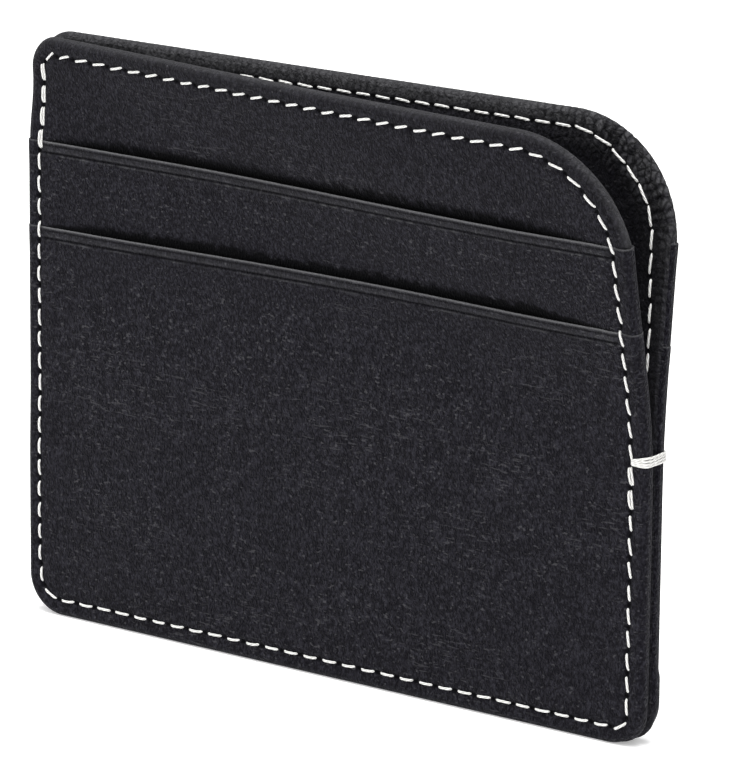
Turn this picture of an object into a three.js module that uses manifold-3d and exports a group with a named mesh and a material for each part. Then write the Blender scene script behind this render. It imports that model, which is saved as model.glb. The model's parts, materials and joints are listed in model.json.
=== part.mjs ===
// A slim leather card holder: two leaves sewn together along the left edge, the bottom edge and the lower
// part of the right edge. Above the bar tack the leaves are free, and their lips stand apart as a mouth.
// Millimetres. +X runs along the long bottom edge, +Y from the front leaf to the rear leaf, +Z up.
// Each leaf is built flat. Depths are measured outwards from the plane where the two leaves meet.

import * as THREE from 'three';
import { mergeVertices } from 'three/addons/utils/BufferGeometryUtils.js';
import Module from 'manifold-3d';

const wasm = await Module();
wasm.setup();

// Driving dimensions
const WIDTH = 100;
const HEIGHT = 81;
const BOTTOM_RADIUS = 5.5;
const HINGE_CORNER_RADIUS = 5;
const MOUTH_CORNER_RADIUS = 16;
const EDGE_ROUND = 0.6;

// Depths of the layers of a leaf, from the inside out
const INNER_FACE = 0.15;
const HEM_TOP = 0.45;
const BOARD_LOW = 0.47;
const BOARD_TOP = 0.7;
const PANEL_LOW = 0.72;
const PANEL_TOP = 1.1;
const SLIP_LOW = 1.13;
const SLIP_TOP = 1.2;
const UPPER_LOW = 1.23;
const UPPER_TOP = 1.58;
const LOWER_LOW = 1.61;
const OUTER_FACE = 2;
const LINING_TOP = 0.4;

// Heights of the card pockets
const UPPER_MOUTH = 66.6;
const LOWER_MOUTH = 54.8;
const UPPER_STRIP_FOOT = 42;
const UPPER_SLOT_FLOOR = 12;
const SLIP_HEAD = 64;

// How far each hidden layer stays in from the edge of the leaf
const HEM_WIDTH = 7;
const TURNED_WALL = 0.9;
const BOARD_INSET = 1.2;
const LINING_INSET = 7.4;
const SLIP_INSET = 3.6;
const RIM_WIDTH = 3.4;
const LAYER_GAP = 0.03;

// Stitching: the row's middle, and the widths and depths of thread and groove
const STITCH_INSET = 2.4;
const THREAD_WIDTH = 0.5;
const THREAD_DEPTH = 0.2;
const GROOVE_WIDTH = 0.8;
const GROOVE_DEPTH = 0.25;
const BOBBIN_DEPTH = 0.1;
const BOBBIN_GROOVE = 0.15;
const FLUSH = 0.02;
const STEP_GAP = 0.05;
const STEP_LENGTH = 0.4;

// The bar tack that ends the seam on the right edge
const TACK_LOW = 38.3;
const TACK_HIGH = 39.7;
const TACK_REACH = 2.8;
const TACK_THICK = 0.3;
const TACK_CLEAR = 0.05;
const TACK_CORNER = 0.3;

// The slanting line where the free lips flex, from the hinge corner down to the bar tack
const FLEX_LEFT_Z = 76.3;
const FLEX_RIGHT_Z = 40.6;
const FLEX_GAP = 0.6;
const FRONT_LIP_ANGLE = 12.5;
const REAR_LIP_ANGLE = 6;

const FRONT = -1;
const REAR = 1;
const CORNER_STEPS = 8;
const EDGE_STEPS = 3;
const FAR = 200;

const FLEX_ALONG = new THREE.Vector3(WIDTH, 0, FLEX_RIGHT_Z - FLEX_LEFT_Z).normalize();
const FLEX_DEPTH = (INNER_FACE + OUTER_FACE) / 2;

const grainedLeather = material(0x26262a, 0.55);
const pocketLeather = material(0x29292d, 0.52);
const hemLeather = material(0x333034, 0.62);
const liningCloth = material(0x161618, 0.9);
const backingBoard = material(0x8a7f70, 0.85);
const ivoryThread = material(0xe8e3d8, 0.7);

function material(color, roughness) {
  return new THREE.MeshStandardMaterial({ color, roughness, metalness: 0 });
}

// Outlines, in the plane of a leaf

function leafOutline(inset) {
  const low = inset;
  const right = WIDTH - inset;
  const top = HEIGHT - inset;
  const bottom = Math.max(BOTTOM_RADIUS - inset, 1);
  const hinge = Math.max(HINGE_CORNER_RADIUS - inset, 1);
  const mouth = Math.max(MOUTH_CORNER_RADIUS - inset, 1);
  const shape = new THREE.Shape();
  shape.moveTo(low + bottom, low);
  shape.lineTo(right - bottom, low);
  shape.absarc(right - bottom, low + bottom, bottom, -Math.PI / 2, 0);
  shape.lineTo(right, top - mouth);
  shape.absarc(right - mouth, top - mouth, mouth, 0, Math.PI / 2);
  shape.lineTo(low + hinge, top);
  shape.absarc(low + hinge, top - hinge, hinge, Math.PI / 2, Math.PI);
  shape.lineTo(low, low + bottom);
  shape.absarc(low + bottom, low + bottom, bottom, Math.PI, 1.5 * Math.PI);
  return shape;
}

function stitchRing(width) {
  const ring = leafOutline(STITCH_INSET - width / 2);
  ring.holes.push(leafOutline(STITCH_INSET + width / 2));
  return ring;
}

function band(lowZ, highZ) {
  const shape = new THREE.Shape();
  shape.moveTo(-FAR, lowZ);
  shape.lineTo(FAR, lowZ);
  shape.lineTo(FAR, highZ);
  shape.lineTo(-FAR, highZ);
  return shape;
}

// One side of the flex line: 'up' is +1 for the free lip and -1 for the sewn body of the leaf.
function besideFlexLine(up) {
  const across = new THREE.Vector2(-FLEX_ALONG.z, FLEX_ALONG.x);
  const along = new THREE.Vector2(FLEX_ALONG.x, FLEX_ALONG.z);
  const start = new THREE.Vector2(0, FLEX_LEFT_Z);
  const corner = (run, rise) => start.clone().addScaledVector(along, run).addScaledVector(across, up * rise);
  const near = FLEX_GAP / 2;
  const corners = [corner(-FAR, near), corner(FAR, near), corner(FAR, FAR), corner(-FAR, FAR)];
  return new THREE.Shape(up > 0 ? corners : corners.reverse());
}

// Solids

function solidOf(geometry) {
  const bare = geometry.clone();
  bare.deleteAttribute('normal');
  bare.deleteAttribute('uv');
  const merged = mergeVertices(bare, 1e-5);
  const mesh = new wasm.Mesh({
    numProp: 3,
    vertProperties: new Float32Array(merged.attributes.position.array),
    triVerts: new Uint32Array(merged.index.array),
  });
  return new wasm.Manifold(mesh);
}

// A flat layer of one leaf, between two depths. A round greater than zero rolls its edges over.
function layer(side, low, high, outline, round = 0) {
  const geometry = new THREE.ExtrudeGeometry(outline, {
    depth: high - low - 2 * round,
    curveSegments: CORNER_STEPS,
    bevelEnabled: round > 0,
    bevelThickness: round,
    bevelSize: round,
    bevelOffset: -round,
    bevelSegments: EDGE_STEPS,
  });
  geometry.translate(0, 0, round + (side === FRONT ? low : -high));
  geometry.rotateX(Math.PI / 2);
  return solidOf(geometry);
}

function geometryOf(solid) {
  const { vertProperties, triVerts } = solid.getMesh();
  const indexed = new THREE.BufferGeometry();
  indexed.setAttribute('position', new THREE.BufferAttribute(vertProperties, 3));
  indexed.setIndex(new THREE.BufferAttribute(triVerts, 1));
  const geometry = indexed.toNonIndexed();
  geometry.computeVertexNormals();
  return geometry;
}

function piece(name, solid, finish) {
  const mesh = new THREE.Mesh(geometryOf(solid), finish);
  mesh.name = name;
  return mesh;
}

// The layers of a leaf, whole and flat

function turnedPanel(side) {
  const skin = layer(side, INNER_FACE, OUTER_FACE, leafOutline(0), EDGE_ROUND);
  const outer = layer(side, 0, PANEL_TOP, leafOutline(-1));
  const boardRoom = layer(side, HEM_TOP, PANEL_LOW, leafOutline(TURNED_WALL));
  const insideWindow = layer(side, 0, PANEL_LOW, leafOutline(HEM_WIDTH));
  const outerGroove = layer(side, PANEL_TOP - GROOVE_DEPTH, FAR, stitchRing(GROOVE_WIDTH));
  const exposed = layer(side, 0, FAR, band(UPPER_MOUTH - GROOVE_WIDTH, FAR));
  const innerGroove = layer(side, 0, INNER_FACE + BOBBIN_GROOVE, stitchRing(GROOVE_WIDTH));
  return skin
    .intersect(outer)
    .subtract(boardRoom)
    .subtract(insideWindow)
    .subtract(outerGroove.intersect(exposed))
    .subtract(innerGroove);
}

function pocketLeaf(side, low, high, foot, mouth, exposedFrom) {
  const skin = layer(side, INNER_FACE, OUTER_FACE, leafOutline(0), EDGE_ROUND);
  const groove = layer(side, high - GROOVE_DEPTH, FAR, stitchRing(GROOVE_WIDTH));
  const exposed = layer(side, 0, FAR, band(exposedFrom, FAR));
  return skin
    .intersect(layer(side, low, high, band(foot, mouth)))
    .subtract(groove.intersect(exposed));
}

// The edge of the lower pocket is folded under, and this rim closes the card space to the panel.
function foldedRim(side) {
  const skin = layer(side, INNER_FACE, OUTER_FACE, leafOutline(0), EDGE_ROUND);
  const rim = leafOutline(-1);
  rim.holes.push(leafOutline(RIM_WIDTH));
  const below = layer(side, 0, FAR, band(-FAR, UPPER_STRIP_FOOT - LAYER_GAP));
  return skin.intersect(layer(side, PANEL_TOP + LAYER_GAP, LOWER_LOW + LAYER_GAP, rim)).intersect(below);
}

function lowerPocket(side) {
  return pocketLeaf(side, LOWER_LOW, OUTER_FACE, -FAR, LOWER_MOUTH, -FAR).add(foldedRim(side));
}

function needleThread(side) {
  const run = (top, lowZ, highZ) =>
    layer(side, top - FLUSH - THREAD_DEPTH, top - FLUSH, stitchRing(THREAD_WIDTH)).intersect(
      layer(side, 0, FAR, band(lowZ, highZ)),
    );
  const riser = (lowTop, highTop, mouth) =>
    layer(side, lowTop - FLUSH - THREAD_DEPTH, highTop - FLUSH, stitchRing(THREAD_WIDTH)).intersect(
      layer(side, 0, FAR, band(mouth + STEP_GAP, mouth + STEP_GAP + STEP_LENGTH)),
    );
  return run(PANEL_TOP, UPPER_MOUTH + STEP_GAP, FAR)
    .add(riser(PANEL_TOP, UPPER_TOP, UPPER_MOUTH))
    .add(run(UPPER_TOP, LOWER_MOUTH + STEP_GAP, UPPER_MOUTH + STEP_GAP + STEP_LENGTH))
    .add(riser(UPPER_TOP, OUTER_FACE, LOWER_MOUTH))
    .add(run(OUTER_FACE, -FAR, LOWER_MOUTH + STEP_GAP + STEP_LENGTH));
}

function bobbinThread(side) {
  const low = INNER_FACE + FLUSH;
  return layer(side, low, low + BOBBIN_DEPTH, stitchRing(THREAD_WIDTH));
}

function leafLayers(side) {
  const slip = leafOutline(SLIP_INSET);
  const slipBand = layer(side, 0, FAR, band(UPPER_SLOT_FLOOR, SLIP_HEAD));
  return {
    panel: [turnedPanel(side), grainedLeather],
    board: [layer(side, BOARD_LOW, BOARD_TOP, leafOutline(BOARD_INSET)), backingBoard],
    lining: [layer(side, INNER_FACE, LINING_TOP, leafOutline(LINING_INSET)), liningCloth],
    upper_slot_lining: [layer(side, SLIP_LOW, SLIP_TOP, slip).intersect(slipBand), liningCloth],
    upper_pocket: [
      pocketLeaf(side, UPPER_LOW, UPPER_TOP, UPPER_STRIP_FOOT, UPPER_MOUTH, LOWER_MOUTH - GROOVE_WIDTH),
      pocketLeather,
    ],
    lower_pocket: [lowerPocket(side), pocketLeather],
  };
}

// The bar tack straps both leaves together round the right edge. Its corners are cut off at 45 degrees.
function barTack() {
  const wrap = strapOutline(TACK_CLEAR + TACK_THICK);
  wrap.holes.push(strapOutline(TACK_CLEAR));
  const geometry = new THREE.ExtrudeGeometry(wrap, { depth: TACK_HIGH - TACK_LOW, bevelEnabled: false });
  geometry.translate(0, 0, TACK_LOW);
  return solidOf(geometry).intersect(layer(FRONT, -FAR, FAR, rightOf(WIDTH - TACK_REACH)));
}

function strapOutline(out) {
  const edge = WIDTH + out;
  const face = OUTER_FACE + out;
  return new THREE.Shape([
    new THREE.Vector2(-out, -face),
    new THREE.Vector2(edge - TACK_CORNER, -face),
    new THREE.Vector2(edge, -face + TACK_CORNER),
    new THREE.Vector2(edge, face - TACK_CORNER),
    new THREE.Vector2(edge - TACK_CORNER, face),
    new THREE.Vector2(-out, face),
  ]);
}

function rightOf(x) {
  return new THREE.Shape([
    new THREE.Vector2(x, 0),
    new THREE.Vector2(FAR, 0),
    new THREE.Vector2(FAR, FAR),
    new THREE.Vector2(x, FAR),
  ]);
}

// A lip turns outwards about the flex line, at half the thickness of its leaf.
function lipGroup(side, angle, meshes) {
  const pivot = new THREE.Vector3(0, side * FLEX_DEPTH, FLEX_LEFT_Z);
  const lip = new THREE.Group();
  lip.position.copy(pivot);
  lip.quaternion.setFromAxisAngle(FLEX_ALONG, -side * THREE.MathUtils.degToRad(angle));
  for (const mesh of meshes) {
    mesh.position.copy(pivot).negate();
    lip.add(mesh);
  }
  return lip;
}

function leaf(side, prefix, angle, seamName) {
  const sewnSide = layer(side, -1, FAR, besideFlexLine(-1));
  const lipSide = layer(side, -1, FAR, besideFlexLine(1));
  const sewn = new THREE.Group();
  const free = [];
  for (const [name, [solid, finish]] of Object.entries(leafLayers(side))) {
    sewn.add(piece(`${prefix}_${name}`, solid.intersect(sewnSide), finish));
    free.push(piece(`${prefix}_lip_${name}`, solid.intersect(lipSide), finish));
  }
  const needle = needleThread(side);
  sewn.add(piece(seamName, needle.intersect(sewnSide), ivoryThread));
  free.push(piece(`${prefix}_mouth_needle_thread`, needle.intersect(lipSide), ivoryThread));
  free.push(piece(`${prefix}_mouth_bobbin_thread`, bobbinThread(side).intersect(lipSide), ivoryThread));
  sewn.add(lipGroup(side, angle, free));
  return sewn;
}

const cardHolder = new THREE.Group();
cardHolder.add(leaf(FRONT, 'front', FRONT_LIP_ANGLE, 'seam_needle_thread'));
cardHolder.add(leaf(REAR, 'rear', REAR_LIP_ANGLE, 'seam_bobbin_thread'));
cardHolder.add(piece('bar_tack', barTack(), ivoryThread));

// The origin is under the middle of the whole holder, lips included, at the edge it stands on.
cardHolder.updateMatrixWorld(true);
const middle = new THREE.Box3().setFromObject(cardHolder, true).getCenter(new THREE.Vector3());
cardHolder.position.set(-middle.x, -middle.y, 0);

export default cardHolder;
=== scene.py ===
import json
import math
import random

import bmesh
import bpy
import numpy as np
from mathutils import Matrix, Vector


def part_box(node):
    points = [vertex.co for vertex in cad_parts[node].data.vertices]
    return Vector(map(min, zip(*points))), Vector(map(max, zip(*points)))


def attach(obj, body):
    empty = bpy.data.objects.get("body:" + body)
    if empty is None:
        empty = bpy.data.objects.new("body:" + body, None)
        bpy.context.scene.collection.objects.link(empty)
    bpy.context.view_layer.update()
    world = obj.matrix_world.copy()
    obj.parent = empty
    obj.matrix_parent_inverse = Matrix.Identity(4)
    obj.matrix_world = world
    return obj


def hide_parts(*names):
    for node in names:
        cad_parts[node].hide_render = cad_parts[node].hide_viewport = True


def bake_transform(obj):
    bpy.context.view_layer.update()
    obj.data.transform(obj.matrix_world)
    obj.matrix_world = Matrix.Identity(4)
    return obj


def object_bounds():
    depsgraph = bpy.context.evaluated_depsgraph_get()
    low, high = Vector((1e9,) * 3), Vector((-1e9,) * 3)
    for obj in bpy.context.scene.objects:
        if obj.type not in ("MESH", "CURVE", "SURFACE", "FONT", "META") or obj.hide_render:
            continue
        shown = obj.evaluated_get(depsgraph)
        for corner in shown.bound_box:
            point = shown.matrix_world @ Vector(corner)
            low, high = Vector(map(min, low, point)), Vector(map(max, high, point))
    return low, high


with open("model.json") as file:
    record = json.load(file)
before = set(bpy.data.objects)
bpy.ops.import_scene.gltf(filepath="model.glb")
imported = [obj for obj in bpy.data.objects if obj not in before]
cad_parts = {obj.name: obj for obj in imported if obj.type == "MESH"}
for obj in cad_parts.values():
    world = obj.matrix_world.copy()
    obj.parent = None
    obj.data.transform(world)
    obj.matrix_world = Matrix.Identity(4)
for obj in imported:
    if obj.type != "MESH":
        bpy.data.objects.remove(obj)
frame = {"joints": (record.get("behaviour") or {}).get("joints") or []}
cad_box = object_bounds()

# A leaf is described flat, in millimetres: x from its left edge, z from its bottom edge, and depth
# outwards from the plane where the two leaves meet. rest_place() bends it to its resting shape.
MM = 0.001
FRONT = -1
REAR = 1
LEAVES = {"front": FRONT, "rear": REAR}
JOINTS = {joint["child"]: joint for joint in frame["joints"]}

# Sizes read from the frame
PANEL_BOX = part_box("front_panel")
LEFT_X = PANEL_BOX[0].x / MM
WIDTH = round((PANEL_BOX[1].x - PANEL_BOX[0].x) / MM, 2)
HEIGHT = round(cad_box[1].z / MM, 2)
FLEX_POINT = {s: Vector(JOINTS[f"{leaf}_lip"]["pos_m"]) / MM for leaf, s in LEAVES.items()}
MIDDLE_Y = (FLEX_POINT[FRONT].y + FLEX_POINT[REAR].y) / 2
NEUTRAL_DEPTH = (FLEX_POINT[REAR].y - FLEX_POINT[FRONT].y) / 2
LIP_REST = {s: math.radians(-JOINTS[f"{leaf}_lip"]["range_deg"][0]) for leaf, s in LEAVES.items()}
FLEX_ALONG = Vector(JOINTS["front_lip"]["axis"])
FLEX_ACROSS = np.array([-FLEX_ALONG.z, FLEX_ALONG.x])
FLEX_Z = FLEX_POINT[FRONT].z

# Leather layers: how deep each outer face lies, and where the pockets open
PANEL_FACE = 1.88
UPPER_FACE = 2.03
LOWER_FACE = 2.18
UNDER_UPPER = 1.38
UNDER_LOWER = 1.73
INNER_FACE = 0.28
UPPER_MOUTH = {FRONT: (66.3, 67.6), REAR: (66.2, 65.8)}
LOWER_MOUTH = {FRONT: (54.5, 55.9), REAR: (54.2, 52.6)}
UPPER_DEEP = 24.0
POCKET_LEATHER = 0.22
UPPER_WRAP = 0.7
LOWER_WRAP = 0.85
LIP_ROLL = 0.2
LIP_GAPE = 0.32
SHADOW_DIP = 0.35
HEM_WIDTH = 7.8
HEM_FOLD = 0.5
CORNERS = (5.5, 5.0, 16.0, 4.4)  # bottom left, top left, top right, bottom right
SHARPEST = 2.0
EDGE_STEPS = 14

# Hidden layers: inset from the leaf's edge, and the depths of the inner and outer face
BOARD_INSET = 1.5
BOARD_DEPTHS = (0.64, 0.78)
BOARD_CORNERS = (6.0, 3.8, 14.5, 6.0)
LINING_INSET = 7.3
LINING_DEPTHS = (0.22, 0.4)
LINING_CORNERS = (2.0, 1.5, 9.0, 2.0)
LINING_QUILT = 0.03
SLIP_INSET = 3.6
SLIP_DEPTHS = (1.41, 1.46)
SLIP_FOOT = 12.0
SLIP_HEAD = 63.0
SLIP_CORNERS = (1.5, 1.5, 1.5, 1.5)
LAYER_STEP = 1.1

# How the leather bends into the free lips
BEND_REACH = 10.0
FRONT_BOW = 1.0
REAR_LEAN = 0.3
REAR_FOOT = 0.22

# Stitching
STITCH_INSET = 2.4
STITCH_COUNT = 108
STITCH_LENGTH = 2.3
INNER_STITCH = 2.45
THREAD_RADIUS = 0.18
ROW_CREEP = 0.43
LEFT_NEARER = 0.3
REAR_FURTHER = 0.85
PLEAT_PITCH = 1.45

# Bar tack
TACK_Z = 39.0
STRANDS = 4
STRAND_GAP = 0.36
STRAND_RADIUS = 0.16
STRAND_DROP = 0.95
STRAND_RISE = 0.228
STRAND_SIDES = 10


def smooth(t):
    """0 below 0, 1 above 1, and an even slope between."""
    t = np.clip(t, 0, 1)
    return t * t * (3 - 2 * t)


def bump(t):
    """A soft hump: 0 at t = 0 and t = 1, and 1 half-way."""
    t = np.clip(t, 0, 1)
    return (t * (1 - t) * 4) ** 2


def bell(t):
    """A soft hump: 1 at t = 0, falling away on both sides."""
    return np.exp(-t * t)


# ---------- resting shape

FLEX_STEPS = np.linspace(-BEND_REACH, 130, 1401)


def flex_table(side):
    """How far out and how far along a leaf's middle has come, at each distance past the flex line."""
    turn = LIP_REST[side] * smooth((FLEX_STEPS + BEND_REACH) / (2 * BEND_REACH))
    step = FLEX_STEPS[1] - FLEX_STEPS[0]
    out = np.concatenate([[0], np.cumsum((np.sin(turn[1:]) + np.sin(turn[:-1])) / 2 * step)])
    along = np.concatenate([[0], np.cumsum((np.cos(turn[1:]) + np.cos(turn[:-1])) / 2 * step)])
    return turn, out, along - BEND_REACH


FLEX_TABLES = {side: flex_table(side) for side in (FRONT, REAR)}


def rest_place(x, z, depth, side):
    """Positions in the object's frame, in metres, of points of a flat leaf once its lip has parted.
    The leaf's top left corner is drawn in a little, and the rear leaf's foot stands out on the right."""
    lean = 0.2 * smooth((z - 20) / 15) + 0.9 * smooth((z - 66) / 10)
    if side == REAR:
        lean = lean * REAR_LEAN
    x = x + lean * smooth((9 - x) / 8)
    if side == REAR:
        x = x + REAR_FOOT * smooth((10.2 - z) / 1.4) * smooth((x - WIDTH + 6) / 5)
    past = x * FLEX_ACROSS[0] + (z - FLEX_Z) * FLEX_ACROSS[1]
    turn_table, out_table, along_table = FLEX_TABLES[side]
    turn = np.interp(past, FLEX_STEPS, turn_table, left=0)
    out = np.interp(past, FLEX_STEPS, out_table, left=0)
    along = np.where(past < -BEND_REACH, past, np.interp(past, FLEX_STEPS, along_table))
    if side == FRONT:
        out = out + FRONT_BOW * smooth(past / 22) * np.sin(math.pi * np.clip(x / WIDTH, 0, 1))
    off = depth - NEUTRAL_DEPTH
    shift = along - off * np.sin(turn) - past
    placed = np.empty(x.shape + (3,))
    placed[..., 0] = LEFT_X + x + FLEX_ACROSS[0] * shift
    placed[..., 1] = MIDDLE_Y + side * (NEUTRAL_DEPTH + out + off * np.cos(turn))
    placed[..., 2] = z + FLEX_ACROSS[1] * shift
    return placed * MM


def follow_lip(piece):
    """Bakes the piece's placement into its mesh; its bend across the slanting flex line is already in its
    shape from rest_place().
    """
    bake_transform(piece)


# ---------- outlines

class Outline:
    """A rectangle with four round corners, and the same shape drawn in by any inset.
    A place on it runs from 0 to 8: left side, top left corner, top, and so on, clockwise."""

    def __init__(self, left, right, foot, head, radii):
        self.left, self.right, self.foot, self.head = left, right, foot, head
        self.radii = radii

    def at(self, inset, place):
        """x, z, and the direction outwards, at each place."""
        r = [max(radius - inset, SHARPEST) for radius in self.radii]
        left, right = self.left + inset, self.right - inset
        foot, head = self.foot + inset, self.head - inset
        centres = [
            (left + r[1], head - r[1]), (right - r[2], head - r[2]),
            (right - r[3], foot + r[3]), (left + r[0], foot + r[0]),
        ]
        sides = [
            ((left, foot + r[0]), (left, head - r[1])),
            ((left + r[1], head), (right - r[2], head)),
            ((right, head - r[2]), (right, foot + r[3])),
            ((right - r[3], foot), (left + r[0], foot)),
        ]
        x, z = np.zeros_like(place), np.zeros_like(place)
        out_x, out_z = np.zeros_like(place), np.zeros_like(place)
        part = np.minimum(place.astype(int), 7)
        share = place - part
        for k in range(4):
            here = part == 2 * k
            start, end = sides[k]
            x[here] = start[0] + (end[0] - start[0]) * share[here]
            z[here] = start[1] + (end[1] - start[1]) * share[here]
            out_x[here], out_z[here] = (-1, 0, 1, 0)[k], (0, 1, 0, -1)[k]
            here = part == 2 * k + 1
            angle = math.pi * (1 - k / 2 - share[here] / 2)
            out_x[here], out_z[here] = np.cos(angle), np.sin(angle)
            radius = r[(1, 2, 3, 0)[k]]
            x[here] = centres[k][0] + radius * out_x[here]
            z[here] = centres[k][1] + radius * out_z[here]
        return x, z, out_x, out_z

    def lengths(self):
        """Lengths of the eight parts of the stitch line."""
        r = [max(radius - STITCH_INSET, SHARPEST) for radius in self.radii]
        wide = self.right - self.left - 2 * STITCH_INSET
        tall = self.head - self.foot - 2 * STITCH_INSET
        quarter = math.pi / 2
        return [
            tall - r[0] - r[1], quarter * r[1], wide - r[1] - r[2], quarter * r[2],
            tall - r[2] - r[3], quarter * r[3], wide - r[3] - r[0], quarter * r[0],
        ]

    def ends(self):
        """How far round the stitch line each of its parts begins, and where the last one ends."""
        return np.concatenate([[0], np.cumsum(self.lengths())])

    def stations(self, step):
        """Places spaced evenly along the stitch line."""
        runs = []
        for k, length in enumerate(self.lengths()):
            count = max(1, round(length / step))
            runs.append(k + np.arange(count) / count)
        return np.concatenate(runs + [[8.0]])

    def place_of(self, run):
        """The place at a distance run clockwise along the stitch line."""
        ends = self.ends()
        return np.interp(np.mod(run, ends[-1]), ends, np.arange(9))

    def run_of(self, place):
        """How far round the stitch line a place lies."""
        return np.interp(place, np.arange(9), self.ends())


LEAF = Outline(0, WIDTH, 0, HEIGHT, CORNERS)
SIDE_ENDS = LEAF.ends()
ROW_LENGTH = sum(LEAF.lengths())
PITCH = ROW_LENGTH / STITCH_COUNT
TACK_RUN = float(SIDE_ENDS[4] + (HEIGHT - CORNERS[2] - TACK_Z))


def edge_place(x, z):
    """How far each point is in from the leaf's edge, and how far round the stitch line it lies."""
    inset = np.minimum(np.minimum(x, WIDTH - x), np.minimum(z, HEIGHT - z))
    left = SIDE_ENDS[0] + (z - CORNERS[0])
    top = SIDE_ENDS[2] + (x - CORNERS[1])
    right = SIDE_ENDS[4] + (HEIGHT - CORNERS[2] - z)
    bottom = SIDE_ENDS[6] + (WIDTH - CORNERS[3] - x)
    nearest = np.argmin([x, HEIGHT - z, WIDTH - x, z], axis=0)
    run = np.choose(nearest, [left, top, right, bottom])
    spots = [
        (CORNERS[1], HEIGHT - CORNERS[1], -1, 1, 1), (WIDTH - CORNERS[2], HEIGHT - CORNERS[2], 1, 1, 2),
        (WIDTH - CORNERS[3], CORNERS[3], 1, -1, 3), (CORNERS[0], CORNERS[0], -1, -1, 0),
    ]
    for k, (cx, cz, sx, sz, corner) in enumerate(spots):
        dx, dz = x - cx, z - cz
        here = (dx * sx > 0) & (dz * sz > 0)
        radius = CORNERS[corner]
        inset = np.where(here, radius - np.hypot(dx, dz), inset)
        angle = np.mod(math.pi * (1 - k / 2) - np.arctan2(dz, dx), 2 * math.pi)
        run = np.where(here, SIDE_ENDS[2 * k + 1] + angle * max(radius - STITCH_INSET, SHARPEST), run)
    return inset, run


# ---------- surface relief

def mouth_at(mouth, x):
    """Height of a pocket's mouth, which rises or falls a little from the left side to the right."""
    return mouth[0] + (mouth[1] - mouth[0]) * x / WIDTH


def row_shift(run, side):
    """How far the stitches have crept along the row from even spacing. The rear lip has a row of its own."""
    own = 0.45 * PITCH * (1 - sewn(run)) if side == REAR else 0
    return -0.45 + ROW_CREEP * np.cos(6 * math.pi * (run - 215) / ROW_LENGTH) - own


def row_inset(run, side):
    """How far in from the edge the stitches run: nearer on the left side, further in round the rear lip."""
    near = LEFT_NEARER * smooth(run / 3) * smooth((62 - run) / 3)
    if side == FRONT:
        return STITCH_INSET - near
    far = REAR_FURTHER * smooth((run - SIDE_ENDS[3]) / 10) * smooth((TACK_RUN - run) / 3)
    return STITCH_INSET - near + far * (1 - 0.8 * smooth((run - SIDE_ENDS[4]) / 12))


def ripple(x, z, scale, seed):
    """Uneven soft ripples between -1 and 1, about scale millimetres across."""
    draw = random.Random(seed)
    total = np.zeros(np.broadcast(x, z).shape)
    for _ in range(7):
        angle = draw.uniform(0, math.pi)
        wave = scale * draw.uniform(0.7, 1.6)
        phase = draw.uniform(0, 2 * math.pi)
        total = total + np.sin((x * math.cos(angle) + z * math.sin(angle)) * 2 * math.pi / wave + phase)
    return total / 4


def pleats(run, seed):
    """Narrow gathered folds across an edge: 0 on the flats and up to -1 in the folds."""
    draw = random.Random(seed)
    wander = draw.uniform(0, 6)
    phase = run * 2 * math.pi / PLEAT_PITCH + 1.7 * np.sin(run / 3.1 + wander) + 0.9 * np.sin(run / 1.27)
    depth = 0.62 + 0.38 * np.sin(run / 1.9 + wander)
    return -(np.abs(np.cos(phase / 2)) ** 5) * depth


def gathered(run):
    """How strongly the edge is gathered: most at the big corner, less along the top, none at the foot."""
    corner = (SIDE_ENDS[3] + SIDE_ENDS[4]) / 2
    near = bell((run - corner) / 19)
    top = 0.42 * smooth((run - SIDE_ENDS[1]) / 6) * smooth((SIDE_ENDS[4] - run) / 10)
    return np.maximum(near, top)


def sewn(run):
    """1 along the sides where the two leaves are stitched together, 0 along the free lips."""
    return 1 - smooth((run - SIDE_ENDS[1] + 8) / 3) * smooth((TACK_RUN + 1 - run) / 3)


def top_run(run):
    """1 along the top edge of a leaf, up to its big corner."""
    return smooth((run - SIDE_ENDS[1]) / 5) * smooth((SIDE_ENDS[3] + 8 - run) / 12)


def edge_wear_and_highlight(run, seed):
    """Lightening of a leaf's rounded edge, a little wear and mostly painted highlight: the crests between
    the gathered folds get the most.
    """
    crests = np.clip(1 + pleats(run * 1.25, seed) * 1.6, 0, 1) ** 2
    return 0.06 + 0.42 * crests * gathered(run)


def mouth_reach(x):
    """1 where a pocket mouth stands open, falling to 0 at the stitched sides."""
    return smooth((x - 1) / 17) * smooth((WIDTH - 3 - x) / 16)


def needle_hole(inset, run, side):
    """1 in the middle of a needle hole."""
    off = np.mod(run - row_shift(run, side) + PITCH / 2, PITCH) - PITCH / 2
    off = PITCH / 2 - np.abs(off)
    return bell(np.hypot((inset - row_inset(run, side)) / 0.3, off / 0.36))


def leather_relief(x, z, inset, run, side, seed):
    """Height and painted shade of the outer leather everywhere: margin, stitch line and soft pebbling. The
    shade darkens the needle holes, the stitch groove and the gathered folds.
    """
    margin = 0.09 * bump((inset + 0.4) / 2.5)
    beside = 0.05 * bump((inset - 2.6) / 3.2)
    from_row = inset - row_inset(run, side)
    line = -0.12 * bell(from_row / 0.42)
    hole = needle_hole(inset, run, side)
    wave = 0.022 * ripple(x, z, 5.5, seed) + 0.012 * ripple(x, z, 1.9, seed + 1)
    folds = pleats(run * 1.4, seed) + 0.5 * pleats(run * 2.3, seed + 50)
    fold = 0.045 * folds * (0.25 + gathered(run)) * smooth((2.3 - inset) / 1.2)
    height = margin + beside + line - 0.2 * hole + wave * smooth((inset - 0.3) / 2) + fold
    shade = np.maximum(0.95 * smooth(hole * 1.7), 0.35 * bell(from_row / 0.3))
    shade = np.maximum(shade, np.clip(-0.5 * folds, 0, 0.6) * gathered(run) * smooth((2.2 - inset) / 0.9))
    return height, shade


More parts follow.
